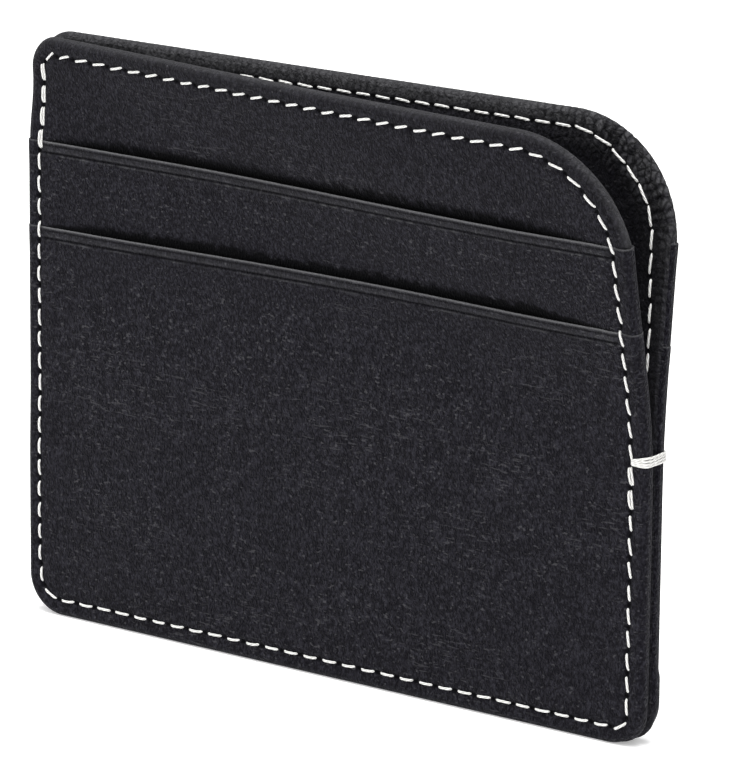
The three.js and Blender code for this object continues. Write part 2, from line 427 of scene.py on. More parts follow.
def mouth_shadow(x, above):
    """Height and darkness of the leather just above the mouth of the pocket that covers it."""
    open_here = mouth_reach(x)
    ragged = (0.3 * ripple(x, above * 0.4, 2.6, 31) + 0.3 * ripple(x, above, 1.1, 32)) * open_here
    band = 0.25 + 0.95 * open_here + ragged
    dip = -SHADOW_DIP * open_here * np.where(above < 0, 1, bell(above / 2.3))
    shade = smooth((band - above) / (0.25 + 0.3 * open_here) + 0.5)
    return dip, shade * smooth((x - 2.6) / 2) * smooth((WIDTH - 2.6 - x) / 2)


def mouth_lip(x, below, inset):
    """Height, painted shade and lightening of a pocket's own leather, at a distance below its mouth. The
    shade darkens the crease and the line under the roll; the lightening is painted highlight on the rolled
    lip edge, the band down to the crease and the dotted rows, with a little edge wear.
    """
    inside = smooth((inset - 2.3) / 0.9)
    open_here = mouth_reach(x)
    gape = LIP_GAPE * open_here * bell(below / 5)
    crease = bell((below - 1.5) / 0.17) * inside
    under_roll = bell((below - 0.5) / 0.12) * inside
    beyond = 0.05 * bump((below - 1.6) / 1.0) * inside
    height = gape - 0.075 * crease - 0.03 * under_roll + beyond
    shade = 0.85 * crease + 0.7 * under_roll
    dots = 0.5 + 0.5 * ripple(x, below, 1.3, 77)
    # Painted highlight: the rolled lip edge, a lighter band down to the crease, and dotted rows of light.
    wear_and_highlight = (0.45 + 0.55 * inside) * bell((below - 0.05) / 0.13)
    wear_and_highlight = wear_and_highlight + 0.065 * smooth((1.55 - below) / 0.3) * inside
    rows = bell((below - 1.78) / 0.12) + 0.6 * bell((below - 1.15) / 0.1)
    wear_and_highlight = wear_and_highlight + 0.6 * rows * dots ** 2 * inside
    return height, shade, np.clip(wear_and_highlight, 0, 1)


def inner_relief(x, z, inset, run, side, seed):
    """The turned hem on the inside of a leaf: a puffed margin, the stitch line and gathered folds."""
    margin = 0.07 * bump((inset + 0.6) / 2.9)
    second = 0.05 * bump((inset - 2.6) / 4.0)
    from_row = inset - row_inset(run, side)
    line = -0.11 * bell(from_row / 0.4)
    hole = needle_hole(inset, run, side)
    gather = gathered(run)
    stray = 0.45 * ripple(run, inset * 2, 2.4, seed + 9)
    folds = pleats(run * 1.25 + stray, seed) + 0.55 * pleats(run * 2.1 + inset * 0.35 - stray, seed + 50)
    folds = folds * (0.75 + 0.35 * ripple(run, inset, 4.0, seed + 10))
    fold = 0.3 * folds * smooth((6.6 - inset) / 3.5) * gather
    height = margin + second + line - 0.1 * hole + fold + 0.02 * ripple(x, z, 3.1, seed)
    height = np.maximum(height, -0.3) + 0.27 * sewn(run) * smooth((inset - 0.5) / 0.6)
    height = np.minimum(height, INNER_FACE - 0.01)
    shade = np.maximum(0.95 * smooth(hole * 1.7), 0.5 * bell(from_row / 0.34))
    shade = np.maximum(shade, np.clip(-0.95 * folds, 0, 0.9) * gather * smooth((6.6 - inset) / 3))
    deep = smooth((inset - 2.6) / 2.2) + 0.7 * (1 - top_run(run - 14))
    shade = np.maximum(shade, 0.6 * smooth(deep) * (1 - sewn(run)))
    return height, shade


# ---------- mesh making

def write_attribute(mesh, name, kind, values):
    attribute = mesh.attributes.new(name, kind, "POINT")
    field = "vector" if kind == "FLOAT_VECTOR" else "value"
    attribute.data.foreach_set(field, np.ascontiguousarray(values, np.float32).ravel())


def finished(name, bm, material):
    mesh = bpy.data.meshes.new(name)
    bm.to_mesh(mesh)
    bm.free()
    mesh.shade_smooth()
    mesh.materials.append(material)
    piece = bpy.data.objects.new(name, mesh)
    bpy.context.scene.collection.objects.link(piece)
    return piece


def laid_grid(rows, columns, row_places, flat, shade, wear_and_highlight, crinkle=None):
    """A bmesh grid whose vertices are laid at row_places, with the leather's own coordinates kept."""
    bm = bmesh.new()
    bmesh.ops.create_grid(bm, x_segments=columns - 1, y_segments=rows - 1, size=1)
    mesh = bpy.data.meshes.new("grid")
    bm.to_mesh(mesh)
    bm.free()
    co = np.empty(len(mesh.vertices) * 3, np.float32)
    mesh.vertices.foreach_get("co", co)
    co = co.reshape(-1, 3)
    column = np.rint((co[:, 0] + 1) / 2 * (columns - 1)).astype(int)
    row = np.rint((co[:, 1] + 1) / 2 * (rows - 1)).astype(int)
    mesh.vertices.foreach_set("co", row_places[row, column].astype(np.float32).ravel())
    write_attribute(mesh, "hide", "FLOAT_VECTOR", flat[row, column])
    write_attribute(mesh, "shade", "FLOAT", shade[row, column])
    write_attribute(mesh, "wear_and_highlight", "FLOAT", wear_and_highlight[row, column])
    if crinkle is not None:
        write_attribute(mesh, "crinkle", "FLOAT", crinkle[row, column])
    bm = bmesh.new()
    bm.from_mesh(mesh)
    bpy.data.meshes.remove(mesh)
    bmesh.ops.remove_doubles(bm, verts=bm.verts, dist=0.004 * MM)
    bmesh.ops.dissolve_degenerate(bm, edges=bm.edges, dist=0.002 * MM)
    return bm


def face_outwards(bm, side):
    """Turns an open sheet's faces to its leaf's outer side."""
    bmesh.ops.recalc_face_normals(bm, faces=bm.faces)
    if sum(face.normal.y * face.calc_area() for face in bm.faces) * side < 0:
        bmesh.ops.reverse_faces(bm, faces=bm.faces)


def close_holes(bm):
    edges = [edge for edge in bm.edges if edge.is_boundary]
    bmesh.ops.holes_fill(bm, edges=edges, sides=0)
    bmesh.ops.recalc_face_normals(bm, faces=bm.faces)


def spaced(start, end, step):
    count = max(1, round((end - start) / step))
    return list(start + (end - start) * np.arange(count) / count)


# ---------- leather pieces

STITCH_RINGS = spaced(1.0, 1.8, 0.2) + spaced(1.8, 3.2, 0.14) + spaced(3.2, 4.4, 0.24)
STATION_STEP = 0.34


def panel_profile():
    """(inset, depth, face) rings, from the middle of the inside round the edge to the middle of the outside.
    face is -1 on the hem inside, 0 on the rounded edge and in the hidden fold, 1 outside."""
    rings = [(inset, HEM_FOLD, 0) for inset in (38, 34, 30, 26, 22, 18, 15, 12, 9.5)]
    rings += [(HEM_WIDTH + 0.1, HEM_FOLD - 0.04, 0), (HEM_WIDTH, 0.36, 0), (HEM_WIDTH - 0.06, 0.24, -1)]
    rings += [(HEM_WIDTH - 0.2, INNER_FACE, -1)]
    hem = [0.9] + STITCH_RINGS + spaced(4.4, HEM_WIDTH - 0.4, 0.32)
    rings += [(inset, INNER_FACE, -1) for inset in reversed(hem)]
    radius = (PANEL_FACE - INNER_FACE) / 2
    middle = (PANEL_FACE + INNER_FACE) / 2
    for k in range(EDGE_STEPS + 1):
        angle = math.pi * (k / EDGE_STEPS - 0.5)
        rings.append((radius * (1 - math.cos(angle)), middle + radius * math.sin(angle), 0))
    outer = [0.9] + STITCH_RINGS + spaced(4.4, 17, 0.85)
    outer += [17, 18.5, 20.5, 23, 26, 30, 34, 38]
    return rings + [(inset, PANEL_FACE, 1) for inset in outer]


def make_panel(leaf, side, material):
    places = LEAF.stations(STATION_STEP)
    run = LEAF.run_of(places)
    profile = panel_profile()
    shape = (len(profile), len(places))
    x, z, depth = np.empty(shape), np.empty(shape), np.empty(shape)
    shade, wear_and_highlight, crinkle = np.zeros(shape), np.zeros(shape), np.zeros(shape)
    seed = 11 if side == FRONT else 12
    for k, (inset, level, face) in enumerate(profile):
        x[k], z[k], out_x, out_z = LEAF.at(inset, places)
        depth[k] = level
        # Lightening of the leaf's edge: a little wear, mostly painted highlight where light catches the
        # rounded edge and the crests of its folds.
        edge_lightening = edge_wear_and_highlight(run, seed)
        wear_and_highlight[k] = np.minimum(edge_lightening, 0.1) * smooth((1.2 - inset) / 0.8)
        if face == 1:
            crinkle[k] = 0.45 * smooth((2.2 - inset) / 1.2) * gathered(run)
        else:
            crinkle[k] = smooth((7.5 - inset) / 3) * gathered(run) * (1 if side == REAR else 0.4)
        if face == 0 and inset < 1:
            # Painted highlight along the crest of the rounded edge, weaker where the leaves are sewn.
            wear_and_highlight[k] = np.maximum(wear_and_highlight[k], 0.26 * bell((inset - 0.05) / 0.26) * (1 - 0.6 * sewn(run)))
        if side == REAR and face < 1:
            # Rear leaf: its hem and rounded edge get the edge lightening plus painted light along the top,
            # where light from above reaches into the opening.
            wear_and_highlight[k] = (edge_lightening + 0.24 * top_run(run)) * smooth((2.8 - inset) / 1.4)
        if face == -1:
            # Painted highlight on the crests of the gathered folds inside the hem.
            wear_and_highlight[k] = np.maximum(wear_and_highlight[k], 0.6 * edge_lightening * smooth((5.5 - inset) / 2) * gathered(run))
        if face:
            relief = leather_relief if face == 1 else inner_relief
            height, dark = relief(x[k], z[k], np.full(len(places), inset), run, side, seed)
            depth[k] += face * height
            shade[k] = dark
        else:
            folds = pleats(run * 1.25, seed) + 0.5 * pleats(run * 2.1, seed + 50)
            edge_fold = (0.08 if side == REAR else 0.05) * folds * gathered(run) * (inset < 1)
            x[k] += out_x * edge_fold
            z[k] += out_z * edge_fold
        above = z[k] - mouth_at(UPPER_MOUTH[side], x[k])
        if face == 1:
            dip, dark = mouth_shadow(x[k], above)
            depth[k] += dip
            shade[k] = np.maximum(shade[k], dark)
        covered = smooth((0.1 - above) / 1.2)
        if level > INNER_FACE + 0.01 and (face == 1 or inset < HEM_WIDTH - 1):
            thinned = 1 - covered * (PANEL_FACE - UNDER_UPPER) / (PANEL_FACE - INNER_FACE)
            depth[k] = INNER_FACE + (depth[k] - INNER_FACE) * thinned
        tuck = 0.12 * covered * smooth((2.6 - inset) / 2)
        x[k] -= out_x * tuck
        z[k] -= out_z * tuck
    flat = np.stack([x, depth * side, z], -1) * MM
    bm = laid_grid(*shape, rest_place(x, z, depth, side), flat, shade, wear_and_highlight, crinkle)
    close_holes(bm)
    piece = finished(f"{leaf}_leaf_leather", bm, material)
    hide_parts(f"{leaf}_panel", f"{leaf}_lip_panel")
    follow_lip(piece)


def lip_steps():
    """(distance below the mouth, drop of the roll) from the rolled edge down to 4 mm below it."""
    roll = []
    for k in range(5):
        angle = math.pi / 2 * (1 - k / 4)
        roll.append((LIP_ROLL * (1 - math.sin(angle)), LIP_ROLL * (1 - math.cos(angle))))
    below = spaced(0.28, 0.7, 0.06) + spaced(0.7, 1.2, 0.16)
    below += spaced(1.2, 2.0, 0.07) + spaced(2.0, 4.0, 0.3) + [4.0]
    return roll + [(distance, 0) for distance in below]


def wrap_steps(level, radius):
    """(inset, depth) over the leaf's edge, from the meeting plane to the pocket's outer face."""
    steps = [(0.8, 0.34)]
    for k in range(6):
        angle = math.pi / 2 * k / 5
        steps.append((0.6 * (1 - math.sin(angle)), 0.38 + 0.5 * (1 - math.cos(angle))))
    steps.append((0, 1.05))
    for k in range(9):
        angle = math.pi / 2 * k / 8
        steps.append((radius * (1 - math.cos(angle)), level - radius + radius * math.sin(angle)))
    return steps


def close_pocket(name, bm, side, material):
    face_outwards(bm, side)
    bmesh.ops.solidify(bm, geom=bm.faces[:], thickness=POCKET_LEATHER * MM)
    bmesh.ops.recalc_face_normals(bm, faces=bm.faces)
    return finished(name, bm, material)


def make_lower_pocket(leaf, side, material):
    lip = lip_steps()
    mouth = LOWER_MOUTH[side]
    down = np.array(spaced(0, 1, STATION_STEP / (mouth[0] - lip[-1][0] - CORNERS[0])))[1:]
    turn = np.array(spaced(0, 1, STATION_STEP / (CORNERS[0] * 1.2)))
    across = np.array(spaced(0, 1, STATION_STEP / (WIDTH / 2 - CORNERS[0])) + [1.0])
    profile = wrap_steps(LOWER_FACE, LOWER_WRAP)
    inner = STITCH_RINGS + spaced(4.4, 10, 0.7) + spaced(10, WIDTH / 2, 1.6) + [WIDTH / 2]
    profile += [(inset, LOWER_FACE) for inset in inner]
    half = len(lip) + len(down) + len(turn) + len(across)
    shape = (len(profile), 2 * half - 1)
    x, z, depth = np.empty(shape), np.empty(shape), np.empty(shape)
    for k, (inset, level) in enumerate(profile):
        radius = min(max(CORNERS[0] - inset, SHARPEST), WIDTH / 2 - inset)
        low = inset if inset < 10 else 10 + (inset - 10) * 0.72
        centre_x, centre_z = inset + radius, low + radius
        angle = math.pi * (1 + turn / 2)
        half_x = np.concatenate([
            np.full(len(lip) + len(down), inset), centre_x + radius * np.cos(angle),
            centre_x + (WIDTH / 2 - centre_x) * across])
        halves = []
        for stem_x in (inset, WIDTH - inset):
            head = mouth_at(mouth, stem_x)
            solid_from = head - lip[-1][0]
            halves.append(np.concatenate([
                [head - step[0] for step in lip], solid_from + (centre_z - solid_from) * down,
                centre_z + radius * np.sin(angle), np.full(len(across), low)]))
        x[k] = np.concatenate([half_x, WIDTH - half_x[-2::-1]])
        z[k] = np.concatenate([halves[0], halves[1][-2::-1]])
        drop = np.zeros(half)
        drop[:len(lip)] = [step[1] for step in lip]
        depth[k] = level - np.concatenate([drop, drop[-2::-1]]) * smooth((level - 0.4) / 0.6)
    outer = np.array([level >= LOWER_FACE - 0.02 for _, level in profile])[:, None]
    inset, run = edge_place(x, z)
    height, shade = leather_relief(x, z, inset, run, side, 21 + side)
    below = mouth_at(mouth, x) - z
    lip_height, lip_shade, wear_and_highlight = mouth_lip(x, below, inset)
    depth += outer * (height + lip_height)
    shade = outer * np.maximum(shade, lip_shade)
    swell = 0.07 * bell(below / 2.5) * (1 - smooth((inset - 0.2) / 2))
    x += np.where(x < WIDTH / 2, -1, 1) * swell
    flat = np.stack([x, depth * side, z], -1) * MM
    bm = laid_grid(*shape, rest_place(x, z, depth, side), flat, shade, wear_and_highlight * np.ones(shape))
    piece = close_pocket(f"{leaf}_lower_pocket_leather", bm, side, material)
    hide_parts(f"{leaf}_lower_pocket", f"{leaf}_lip_lower_pocket")
    follow_lip(piece)


def make_upper_pocket(leaf, side, material):
    lip = lip_steps()
    rows_below = [step[0] for step in lip] + spaced(4.3, UPPER_DEEP, 0.3)
    drops = np.array([step[1] for step in lip] + [0] * (len(rows_below) - len(lip)))
    insets = STITCH_RINGS + spaced(4.4, 10, 0.6) + spaced(10, WIDTH / 2, 0.9) + [WIDTH / 2]
    columns = wrap_steps(UPPER_FACE, UPPER_WRAP) + [(inset, UPPER_FACE) for inset in insets]
    columns = columns + [(WIDTH - inset, level) for inset, level in reversed(columns[:-1])]
    across = np.array([c[0] for c in columns])
    level = np.array([c[1] for c in columns])
    shape = (len(rows_below), len(columns))
    below = np.array(rows_below)[:, None] * np.ones(shape)
    x = across[None, :] * np.ones(shape)
    z = mouth_at(UPPER_MOUTH[side], x) - below
    depth = level[None, :] - drops[:, None] * smooth((level[None, :] - 0.4) / 0.6)
    outer = (level >= UPPER_FACE - 0.02)[None, :]
    inset, run = edge_place(x, z)
    height, shade = leather_relief(x, z, inset, run, side, 41 + side)
    lip_height, lip_shade, wear_and_highlight = mouth_lip(x, below, inset)
    above = z - mouth_at(LOWER_MOUTH[side], x)
    dip, dark = mouth_shadow(x, above)
    covered = smooth((0.1 - above) / 1.2)
    depth = depth + outer * (height + lip_height + dip)
    depth = depth * (1 - covered * (1 - UNDER_LOWER / UPPER_FACE))
    shade = outer * np.maximum(np.maximum(shade, lip_shade), dark)
    swell = (0.07 * bell(below / 2.5) - 0.06 * covered) * (1 - smooth((inset - 0.2) / 2))
    x = x + np.where(x < WIDTH / 2, -1, 1) * swell
    flat = np.stack([x, depth * side, z], -1) * MM
    bm = laid_grid(*shape, rest_place(x, z, depth, side), flat, shade, wear_and_highlight)
    piece = close_pocket(f"{leaf}_upper_pocket_leather", bm, side, material)
    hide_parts(f"{leaf}_upper_pocket", f"{leaf}_lip_upper_pocket")
    follow_lip(piece)


# ---------- hidden layers

def inset_outline(inset, foot, head, radii):
    return Outline(inset, WIDTH - inset, foot, head, radii)


BOARD = inset_outline(BOARD_INSET, BOARD_INSET, HEIGHT - BOARD_INSET, BOARD_CORNERS)
LINING = inset_outline(LINING_INSET, LINING_INSET, HEIGHT - LINING_INSET, LINING_CORNERS)
SLIP = inset_outline(SLIP_INSET, SLIP_FOOT, SLIP_HEAD, SLIP_CORNERS)


def make_layer(name, leaf, side, outline, depths, node, material, quilt=0.0):
    """A thin closed layer of the leaf: its two faces and a rounded edge."""
    low, high = depths
    places = outline.stations(LAYER_STEP)
    round_edge = (high - low) / 2
    deep = [24, 21, 18, 15, 12, 9.5, 7.5, 5.5, 4, 2.8, 1.8, 1.0, 0.5]
    profile = [(inset, low) for inset in deep]
    profile += [(round_edge * 0.3, low + round_edge * 0.3), (0, low + round_edge)]
    profile += [(round_edge * 0.3, high - round_edge * 0.3)] + [(inset, high) for inset in reversed(deep)]
    shape = (len(profile), len(places))
    x, z, depth = np.empty(shape), np.empty(shape), np.empty(shape)
    for k, (inset, level) in enumerate(profile):
        x[k], z[k], _, _ = outline.at(inset, places)
        depth[k] = level + quilt * ripple(x[k], z[k], 9, 5) * smooth(inset / 3)
    flat = np.stack([x, depth * side, z], -1) * MM
    none = np.zeros(shape)
    bm = laid_grid(*shape, rest_place(x, z, depth, side), flat, none, none)
    close_holes(bm)
    piece = finished(name, bm, material)
    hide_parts(f"{leaf}_{node}", f"{leaf}_lip_{node}")
    follow_lip(piece)


# ---------- thread

def level_at(x, z, side):
    """Depth of the leaf's outer face where the stitch line crosses its layers."""
    to_upper = smooth((mouth_at(LOWER_MOUTH[side], x) + 0.5 - z) / 1.0)
    to_panel = smooth((mouth_at(UPPER_MOUTH[side], x) + 0.5 - z) / 1.0)
    return PANEL_FACE + (UPPER_FACE - PANEL_FACE) * to_panel + (LOWER_FACE - UPPER_FACE) * to_upper


def stitch(bm, layers, run, slant, bend, length, radius, sideways, outside, side):
    """One stitch, a short bent thread that dips into a needle hole at each end."""
    place = LEAF.place_of(np.array([run]))
    inset = float(row_inset(run % ROW_LENGTH, side))
    x0, z0, out_x, out_z = (v[0] for v in LEAF.at(inset, place))
    along_x, along_z = out_z, -out_x
    made = bmesh.ops.create_uvsphere(bm, u_segments=8, v_segments=9, radius=1)["verts"]
    co = np.array([v.co for v in made])
    t = co[:, 2]
    ring = np.hypot(co[:, 0], co[:, 1])
    fat = radius * np.minimum(ring * 1.9, 1) ** 0.8
    turn = np.arctan2(co[:, 1], co[:, 0])
    along = t * length / 2
    wide = fat * np.cos(turn) + sideways + bend * (1 - t * t) + math.tan(slant) * along
    high = fat * np.sin(turn) * 0.85 - 0.3 * np.abs(t) ** 4
    x = x0 + along_x * along + out_x * wide
    z = z0 + along_z * along + out_z * wide
    depth = level_at(x, z, side) + 0.03 + high if outside else INNER_FACE + 0.02 - high
    for v, position, a, b in zip(made, rest_place(x, z, depth, side), along, turn):
        v.co = position
        v[layers] = Vector((a + run, b / (2 * math.pi), fat.max()))


def slant_at(run):
    """The stitches lean across the row along the top and the right side, and hardly at all elsewhere."""
    on_top = smooth((run - SIDE_ENDS[1] + 2) / 4) * smooth((SIDE_ENDS[5] + 1 - run) / 4)
    on_right = smooth((run - SIDE_ENDS[3]) / 20)
    return math.radians(2 + 11 * float(on_top) - 4 * float(on_right * on_top))


def make_row(name, side, outside, free, node, material, seed):
    """Every stitch of one row: the seam (free False) or the free lip's row (free True)."""
    bm = bmesh.new()
    thread = bm.verts.layers.float_vector.new("thread")
    draw = random.Random(seed)
    for k in range(STITCH_COUNT):
        even = (k + 1.0) * PITCH
        run = even + float(row_shift(even % ROW_LENGTH, side))
        on_lip = SIDE_ENDS[1] - 1 < run % ROW_LENGTH < TACK_RUN - 0.3
        lean = slant_at(run % ROW_LENGTH) * (1 if outside else -0.2) + math.radians(draw.uniform(-3, 3))
        bend = draw.uniform(-0.03, 0.1)
        length = (STITCH_LENGTH if outside else INNER_STITCH) * draw.uniform(0.93, 1.05)
        if not outside and run % ROW_LENGTH > SIDE_ENDS[3]:
            length *= 1.12
        if on_lip != free:
            continue
        near_tack = 0 < run % ROW_LENGTH - TACK_RUN < 2 * PITCH
        near_top = SIDE_ENDS[1] - 9.5 < run % ROW_LENGTH < SIDE_ENDS[1]
        if outside and (near_tack or near_top):
            for shift in (-0.14, 0.14):
                stitch(bm, thread, run, lean, bend + shift * 0.6, length + 0.35,
                       THREAD_RADIUS * 0.9, shift, outside, side)
        else:
            stitch(bm, thread, run, lean, bend, length, THREAD_RADIUS, 0, outside, side)
    bmesh.ops.recalc_face_normals(bm, faces=bm.faces)
    piece = finished(name, bm, material)
    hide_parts(node)
    follow_lip(piece)


def strand_route():
    """(x, y, share of the rise) along one strand, from its hole in the front to its hole in the rear."""
    hole, edge = WIDTH - STITCH_INSET + 0.1, WIDTH + 0.08
    face = LOWER_FACE + 0.2
    return [
        (hole - 0.1, -face + 0.5, 0.1),
        (hole + 0.25, -face - 0.12, 0.25),
        (hole + 1.1, -face - 0.16, 0.6),
        (edge - 0.55, -face - 0.05, 0.9),
        (edge - 0.05, -face + 0.5, 1),
        (edge + 0.05, -0.7, 1),
        (edge + 0.05, 0.7, 1),
        (edge - 0.05, face - 0.45, 1),
        (edge - 0.55, face + 0.05, 0.9),
        (hole + 1.1, face + 0.12, 0.6),
        (hole + 0.25, face + 0.08, 0.25),
        (hole - 0.1, face - 0.5, 0.1),
    ]


def make_bar_tack(material):
    """Strands that leave one hole in the front, strap both edges and go into one hole in the rear."""
    bm = bmesh.new()
    thread = bm.verts.layers.float_vector.new("thread")
    draw = random.Random(5)
    for strand in range(STRANDS):
        spread = (strand - (STRANDS - 1) / 2) * STRAND_GAP
        points = []
        for x, y, share in strand_route():
            z = TACK_Z - STRAND_DROP + STRAND_RISE * share + spread * (0.35 + 0.65 * share)
            points.append((LEFT_X + x, MIDDLE_Y + y, z + draw.uniform(-0.03, 0.03)))
        sweep(bm, thread, fair(points, 5), STRAND_RADIUS, strand)
    bmesh.ops.recalc_face_normals(bm, faces=bm.faces)
    piece = finished("bar_tack_strands", bm, material)
    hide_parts("bar_tack")
    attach(piece, "sewn_body")


def fair(points, between):
    """A smooth line through the points, with some more points between each two."""
    points = np.array(points)
    padded = np.vstack([2 * points[0] - points[1], points, 2 * points[-1] - points[-2]])
    line = []
    for a, b, c, d in zip(padded[:-3], padded[1:-2], padded[2:-1], padded[3:]):
        for k in range(between):
            t = k / between
            line.append(b + t / 2 * (c - a + t * (2 * a - 5 * b + 4 * c - d + t * (3 * (b - c) + d - a))))
    return np.array(line + [points[-1]])


def rim(ring):
    """The edges that join a ring's own vertices, each once and always in the same order."""
    edges = [edge for v in ring for edge in v.link_edges if all(w in ring for w in edge.verts)]
    return list(dict.fromkeys(edges))


def sweep(bm, layer, line, radius, seed):
    """A thread of round section along a line, in millimetres."""
    ring = None
    travelled = 0.0
    last = len(line) - 1
    for k, point in enumerate(line):
        ahead = line[min(k + 1, last)] - line[max(k - 1, 0)]
        travelled += float(np.linalg.norm(line[k] - line[k - 1])) if k else 0.0
        turn = Vector(ahead).to_track_quat("Z", "X").to_matrix().to_4x4()
        taper = radius * (0.8 if k in (0, last) else 1)
        if ring is None:
            ring = bmesh.ops.create_circle(bm, cap_ends=True, segments=STRAND_SIDES, radius=1)["verts"]
            base = [v.co.copy() for v in ring]
        else:
            made = bmesh.ops.extrude_edge_only(bm, edges=rim(ring))["geom"]
            fresh = [v for v in made if isinstance(v, bmesh.types.BMVert)]
            order = {v: min(range(STRAND_SIDES), key=lambda i: (v.co - ring[i].co).length) for v in fresh}
            ring = sorted(fresh, key=lambda v: order[v])
        for i, v in enumerate(ring):
            v.co = (Vector(point) + turn @ (base[i] * taper)) * MM
            v[layer] = Vector((travelled + seed * 3.7, i / STRAND_SIDES, radius))
    bmesh.ops.contextual_create(bm, geom=rim(ring))


# ---------- materials

class Recipe:
    """A material under construction."""

    def __init__(self, name):
        self.material = bpy.data.materials.new(name)
        self.material.use_nodes = True
        self.tree = self.material.node_tree
        self.shader = self.tree.nodes["Principled BSDF"]

    def node(self, kind, inputs=None, **settings):
        node = self.tree.nodes.new(kind)
        for key, value in settings.items():
            setattr(node, key, value)
        for key, value in (inputs or {}).items():
            self.feed(node.inputs[key], value)
        return node

    def feed(self, socket, value):
        if isinstance(value, bpy.types.NodeSocket):
            self.tree.links.new(value, socket)
        else:
            socket.default_value = value

    def attribute(self, name):
        return self.node("ShaderNodeAttribute", attribute_name=name)

    def math(self, operation, a, b=0.0, c=0.0, clamp=False):
        node = self.node("ShaderNodeMath", {0: a, 1: b, 2: c}, operation=operation, use_clamp=clamp)
        return node.outputs[0]

    def mix(self, share, a, b):
        node = self.node("ShaderNodeMix", data_type="RGBA")
        self.feed(node.inputs[0], share)
        self.feed(node.inputs[6], a)
        self.feed(node.inputs[7], b)
        return node.outputs[2]

    def ramp(self, value, stops):
        node = self.node("ShaderNodeValToRGB", {0: value})
        node.color_ramp.elements[0].position = stops[0][0]
        node.color_ramp.elements[0].color = stops[0][1]
        node.color_ramp.elements[1].position = stops[-1][0]
        node.color_ramp.elements[1].color = stops[-1][1]
        for position, colour in stops[1:-1]:
            node.color_ramp.elements.new(position).color = colour
        return node.outputs[0]

    def scaled(self, vector, scale):
        return self.node("ShaderNodeMapping", {0: vector, "Scale": scale}).outputs[0]

    def noise(self, vector, scale, detail=2.0, roughness=0.5):
        return self.node("ShaderNodeTexNoise", {
            "Vector": vector, "Scale": scale, "Detail": detail, "Roughness": roughness}).outputs[0]

    def cell_edges(self, vector, scale):
        """Distance from the edges of irregular cells."""
        inputs = {"Vector": vector, "Scale": scale}
        return self.node("ShaderNodeTexVoronoi", inputs, feature="DISTANCE_TO_EDGE").outputs["Distance"]

    def bump(self, height, strength, distance):
        node = self.node("ShaderNodeBump", {"Height": height, "Strength": strength, "Distance": distance})
        self.feed(self.shader.inputs["Normal"], node.outputs[0])


BLACK = (0, 0, 0, 1)
WHITE = (1, 1, 1, 1)
IN_SHADOW = (0.0006, 0.0006, 0.001, 1)
# Pale grey for edge wear and painted highlight on lips, edges and fold crests.
WORN_AND_LIT = (0.15, 0.15, 0.155, 1)


